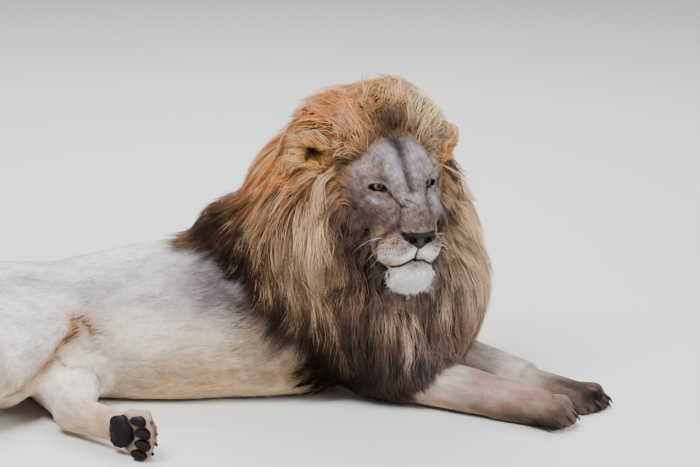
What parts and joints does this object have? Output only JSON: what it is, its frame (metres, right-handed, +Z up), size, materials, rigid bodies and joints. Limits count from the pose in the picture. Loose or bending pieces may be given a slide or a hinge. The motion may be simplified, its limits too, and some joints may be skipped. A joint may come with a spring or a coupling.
{
  "type": "lion",
  "caption": "Life-size still model of a maned male lion lying on its elbows and one hip, head raised and turned to its right.",
  "frame": {"origin": "on the floor, below the middle of the whole model's box", "axes": "+X along the trunk towards the head, +Y towards the animal's left side, +Z up"},
  "size_m": [2.1768, 0.8746, 0.732],
  "materials": {
    "coat": "short matt hair",
    "mane": "long coarse hair",
    "eye": "wet and clear",
    "nose_leather": "moist leather",
    "claw": "horn",
    "paw_pad": "dry, cracked"
  },
  "bodies": {
    "root": {"head": "coat", "left_ear": "coat", "left_eye": "eye", "left_forearm": "coat", "left_forepaw": "coat", "left_forepaw_claw_1": "claw", "left_forepaw_claw_2": "claw", "left_forepaw_claw_3": "claw", "left_forepaw_claw_4": "claw", "left_hind_foot": "coat", "left_hind_foot_claw_1": "claw", "left_hind_foot_claw_2": "claw", "left_hind_foot_claw_3": "claw", "left_hind_foot_claw_4": "claw", "left_hind_foot_pad_main": "paw_pad", "left_hind_foot_pad_toe_1": "paw_pad", "left_hind_foot_pad_toe_2": "paw_pad", "left_hind_foot_pad_toe_3": "paw_pad", "left_hind_foot_pad_toe_4": "paw_pad", "left_shank": "coat", "left_thigh": "coat", "lower_jaw": "coat", "neck": "mane", "nose": "nose_leather", "right_ear": "coat", "right_eye": "eye", "right_forearm": "coat", "right_forepaw": "coat", "right_forepaw_claw_1": "claw", "right_forepaw_claw_2": "claw", "right_forepaw_claw_3": "claw", "right_forepaw_claw_4": "claw", "right_hind_foot": "coat", "right_hind_foot_claw_1": "claw", "right_hind_foot_claw_2": "claw", "right_hind_foot_claw_3": "claw", "right_hind_foot_claw_4": "claw", "right_shank": "coat", "right_thigh": "coat", "tail_end": "coat", "tail_middle": "coat", "tail_root": "coat", "tail_tuft": "mane", "trunk": "coat"}
  },
  "joints": []
}
